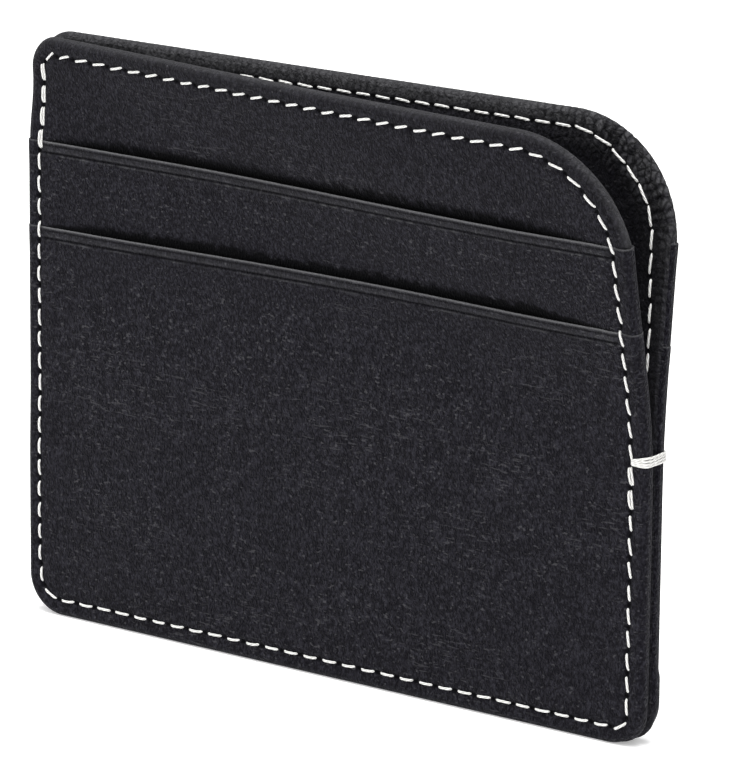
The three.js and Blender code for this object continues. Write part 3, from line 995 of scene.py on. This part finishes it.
def leather(name, tone):
    """Near-black pebbled leather. Its grain follows the hide, so it doesn't slide when the lip bends."""
    r = Recipe(name)
    hide = r.attribute("hide").outputs["Vector"]
    upright = r.scaled(hide, (1.0, 1.0, 0.62))
    stray = r.node("ShaderNodeTexNoise", {"Vector": hide, "Scale": 900.0}).outputs[1]
    stray = r.node("ShaderNodeVectorMath", {0: stray, "Scale": 0.00035}, operation="SCALE").outputs[0]
    warped = r.node("ShaderNodeVectorMath", {0: upright, 1: stray}, operation="ADD").outputs[0]
    pebble = r.cell_edges(warped, 2300.0)
    fine = r.noise(upright, 5200.0, 3.0, 0.6)
    fibres = r.noise(r.scaled(hide, (1.0, 1.0, 0.7)), 2500.0, 2.0, 0.6)
    broad = r.noise(hide, 260.0, 3.0, 0.55)
    glint_spots = r.noise(r.scaled(hide, (0.75, 1.0, 1.2)), 2100.0, 1.0, 0.4)
    area = r.noise(hide, 60.0, 1.0, 0.5)
    pebble_height = r.math("MINIMUM", r.math("MULTIPLY", pebble, 2.4), 1.0)
    grain = r.math("ADD", r.math("MULTIPLY", pebble_height, 0.6), r.math("MULTIPLY", fine, 0.7))
    grain = r.math("ADD", grain, r.math("MULTIPLY", r.math("ADD", broad, fibres), 0.5))
    crinkle = r.attribute("crinkle").outputs["Fac"]
    crack = r.cell_edges(r.scaled(warped, (1.0, 1.0, 1.15)), 1050.0)
    crack = r.math("MULTIPLY", r.math("SUBTRACT", 1.0, r.math("MULTIPLY", crack, 4.5), clamp=True), crinkle)
    grain = r.math("SUBTRACT", grain, r.math("MULTIPLY", crack, 0.9))
    dark = (tone[0] * 0.28, tone[1] * 0.26, tone[2] * 0.36, 1)
    light = (tone[0] * 2.1, tone[1] * 2.2, tone[2] * 2.2, 1)
    mottle = r.math("MULTIPLY_ADD", fibres, 3.0, r.math("MULTIPLY", fine, 1.4))
    mottle = r.math("MULTIPLY_ADD", pebble_height, 0.35, mottle)
    mottle = r.math("SUBTRACT", r.math("MULTIPLY_ADD", broad, 0.3, mottle), 2.23, clamp=True)
    base = r.mix(mottle, dark, light)
    # Painted glints: sparse bright spots stand in for light catching the grain.
    glint = r.ramp(r.math("ADD", glint_spots, r.math("MULTIPLY", area, 0.09)), [(0.70, BLACK), (0.80, WHITE)])
    glint_and_scuff_grey = (tone[0] * 6.5, tone[0] * 6.4, tone[0] * 7, 1)
    base = r.mix(r.math("MULTIPLY", glint, 0.55), base, glint_and_scuff_grey)
    scuffs = r.noise(r.scaled(hide, (0.32, 1.0, 2.3)), 1500.0, 2.0, 0.6)
    scuffed = r.noise(r.scaled(hide, (0.6, 1.0, 1.0)), 75.0, 1.0, 0.5)
    scuffed = r.ramp(scuffed, [(0.5, BLACK), (0.64, WHITE)])
    scuffs = r.math("MULTIPLY", r.ramp(scuffs, [(0.6, BLACK), (0.67, WHITE)]), scuffed)
    base = r.mix(r.math("MULTIPLY", scuffs, 0.42), base, glint_and_scuff_grey)
    # Edge wear and painted highlight lighten the colour towards a pale grey.
    base = r.mix(r.math("MULTIPLY", r.attribute("wear_and_highlight").outputs["Fac"], 0.75), base, WORN_AND_LIT)
    shade = r.attribute("shade").outputs["Fac"]
    base = r.mix(r.math("MULTIPLY", shade, 0.97), base, IN_SHADOW)
    base = r.mix(r.math("MULTIPLY", crack, 0.85), base, IN_SHADOW)
    r.feed(r.shader.inputs["Base Color"], base)
    rough = r.math("ADD", r.math("MULTIPLY", broad, 0.18), 0.46)
    rough = r.math("ADD", rough, r.math("MULTIPLY", shade, 0.4), clamp=True)
    r.feed(r.shader.inputs["Roughness"], rough)
    r.shader.inputs["Specular IOR Level"].default_value = 0.055
    r.shader.inputs["Sheen Weight"].default_value = 0.015
    r.shader.inputs["Sheen Roughness"].default_value = 0.5
    r.bump(grain, 0.9, 0.00022)
    return r.material


RIB_PITCH = 0.45
TWIST_PITCH = 0.9
PLIES = 3


def lining_cloth():
    """Fine black twill."""
    r = Recipe("black_twill_lining")
    hide = r.attribute("hide").outputs["Vector"]
    split = r.node("ShaderNodeSeparateXYZ", {0: hide})
    threads = 2 * math.pi / (RIB_PITCH * MM)
    diagonal = r.math("ADD", split.outputs[0], split.outputs[2])
    ribs = r.math("SINE", r.math("MULTIPLY", diagonal, threads))
    weft = r.math("SINE", r.math("MULTIPLY", split.outputs[0], threads * 1.7))
    height = r.math("ADD", ribs, r.math("MULTIPLY", weft, 0.4))
    fuzz = r.noise(hide, 3000.0)
    base = r.mix(fuzz, (0.004, 0.004, 0.004, 1), (0.014, 0.014, 0.015, 1))
    r.feed(r.shader.inputs["Base Color"], base)
    r.shader.inputs["Roughness"].default_value = 0.9
    r.shader.inputs["Specular IOR Level"].default_value = 0.1
    r.shader.inputs["Sheen Weight"].default_value = 0.02
    r.bump(height, 0.4, 0.00006)
    return r.material


def board():
    """Bonded fibre board."""
    r = Recipe("bonded_fibre_board")
    hide = r.attribute("hide").outputs["Vector"]
    fibres = r.noise(r.scaled(hide, (1.0, 1.0, 0.2)), 2500.0, 4.0, 0.7)
    base = r.mix(fibres, (0.2, 0.165, 0.12, 1), (0.33, 0.28, 0.21, 1))
    r.feed(r.shader.inputs["Base Color"], base)
    r.shader.inputs["Roughness"].default_value = 0.85
    r.bump(fibres, 0.3, 0.00005)
    return r.material


def ivory_thread():
    """Waxed ivory thread of three plies, with its twist along the thread."""
    r = Recipe("waxed_ivory_thread")
    thread = r.node("ShaderNodeSeparateXYZ", {0: r.attribute("thread").outputs["Vector"]})
    along = r.math("MULTIPLY", thread.outputs[0], 2 * math.pi / TWIST_PITCH)
    around = r.math("MULTIPLY", thread.outputs[1], 2 * math.pi * PLIES)
    twist = r.math("SINE", r.math("ADD", along, around))
    place = r.node("ShaderNodeTexCoord").outputs["Object"]
    fibre = r.noise(place, 4200.0, 3.0, 0.6)
    # Painted shade: the grooves between the plies are coloured darker than the plies' crowns.
    ply = r.math("MULTIPLY_ADD", twist, 0.5, 0.5, clamp=True)
    base = r.mix(ply, (0.5, 0.49, 0.47, 1), (0.92, 0.915, 0.9, 1))
    base = r.mix(r.math("MULTIPLY", fibre, 0.25), base, (0.75, 0.74, 0.71, 1))
    r.feed(r.shader.inputs["Base Color"], base)
    r.shader.inputs["Roughness"].default_value = 0.5
    r.shader.inputs["Specular IOR Level"].default_value = 0.4
    r.shader.inputs["Sheen Weight"].default_value = 0.15
    r.bump(r.math("ADD", twist, r.math("MULTIPLY", fibre, 0.5)), 0.5, 0.00006)
    return r.material


# ---------- the object

panel_leather = leather("grained_leather", (0.0096, 0.0089, 0.0118))
pocket_leather = leather("pocket_leather", (0.0098, 0.0091, 0.0121))
cloth = lining_cloth()
fibre_board = board()
thread_material = ivory_thread()

for leaf, side in LEAVES.items():
    make_panel(leaf, side, panel_leather)
    make_lower_pocket(leaf, side, pocket_leather)
    make_upper_pocket(leaf, side, pocket_leather)
    make_layer(f"{leaf}_leaf_board", leaf, side, BOARD, BOARD_DEPTHS,
               "board", fibre_board)
    make_layer(f"{leaf}_leaf_lining", leaf, side, LINING, LINING_DEPTHS,
               "lining", cloth, LINING_QUILT)
    make_layer(f"{leaf}_slot_lining_cloth", leaf, side, SLIP, SLIP_DEPTHS,
               "upper_slot_lining", cloth)

make_row("seam_needle_stitches", FRONT, True, False, "seam_needle_thread", thread_material, 3)
make_row("seam_bobbin_stitches", REAR, True, False, "seam_bobbin_thread", thread_material, 4)
for leaf, side in LEAVES.items():
    make_row(f"{leaf}_mouth_needle_stitches", side, True, True,
             f"{leaf}_mouth_needle_thread", thread_material, 6 + side)
    make_row(f"{leaf}_mouth_bobbin_stitches", side, False, True,
             f"{leaf}_mouth_bobbin_thread", thread_material, 16 + side)
make_bar_tack(thread_material)


# ---------- floor, light and camera

def make_floor():
    bm = bmesh.new()
    bmesh.ops.create_grid(bm, x_segments=2, y_segments=2, size=1.6)
    floor = finished("pale_floor", bm, floor_paper())


def floor_paper():
    r = Recipe("pale_paper")
    place = r.node("ShaderNodeTexCoord").outputs["Object"]
    base = r.mix(r.noise(place, 30.0), (0.93, 0.93, 0.93, 1), (0.95, 0.95, 0.95, 1))
    r.feed(r.shader.inputs["Base Color"], base)
    r.shader.inputs["Roughness"].default_value = 0.9
    r.shader.inputs["Specular IOR Level"].default_value = 0.1
    r.shader.inputs["Emission Color"].default_value = (1, 1, 1, 1)
    r.shader.inputs["Emission Strength"].default_value = 0.3
    return r.material


def soft_light(name, power, size, place, aim):
    light = bpy.data.lights.new(name, "AREA")
    light.shape = "RECTANGLE"
    light.size, light.size_y = size
    light.energy = power
    lamp = bpy.data.objects.new(name, light)
    lamp.location = place
    lamp.rotation_euler = (Vector(aim) - Vector(place)).to_track_quat("-Z", "Y").to_euler()
    bpy.context.scene.collection.objects.link(lamp)


def make_world():
    world = bpy.data.worlds.new("pale_room")
    world.use_nodes = True
    world.node_tree.nodes["Background"].inputs[0].default_value = (1, 1, 1, 1)
    world.node_tree.nodes["Background"].inputs[1].default_value = 0.6
    bpy.context.scene.world = world
    bpy.context.scene.view_settings.view_transform = "Standard"


def make_camera():
    azimuth, elevation, roll = math.radians(35.568), math.radians(15.318), math.radians(0.423)
    distance = 0.752
    back = Vector((math.sin(azimuth) * math.cos(elevation),
                   -math.cos(azimuth) * math.cos(elevation), math.sin(elevation)))
    right = Vector((math.cos(azimuth), math.sin(azimuth), 0))
    up = back.cross(right)
    turned_right = right * math.cos(roll) + up * math.sin(roll)
    turned_up = back.cross(turned_right)
    target = Vector((LEFT_X + WIDTH / 2, MIDDLE_Y, HEIGHT / 2)) * MM
    camera = bpy.data.cameras.new("camera")
    camera.sensor_width = 36
    camera.lens = 265.6
    camera.shift_x = 0.0389
    camera.shift_y = -0.0124
    holder = bpy.data.objects.new("camera", camera)
    rotation = Matrix((turned_right, turned_up, back)).transposed()
    holder.matrix_world = Matrix.Translation(target + back * distance) @ rotation.to_4x4()
    bpy.context.scene.collection.objects.link(holder)
    bpy.context.scene.camera = holder


make_floor()
soft_light("key_softbox", 3.1, (0.7, 0.5), (-0.35, -0.75, 0.75), (0, 0, 0.04))
soft_light("top_softbox", 10, (0.7, 0.5), (0.1, -0.12, 0.9), (0, 0, 0.04))
soft_light("side_fill", 0.8, (0.4, 0.6), (0.8, -0.35, 0.35), (0.02, 0, 0.04))
make_world()
make_camera()
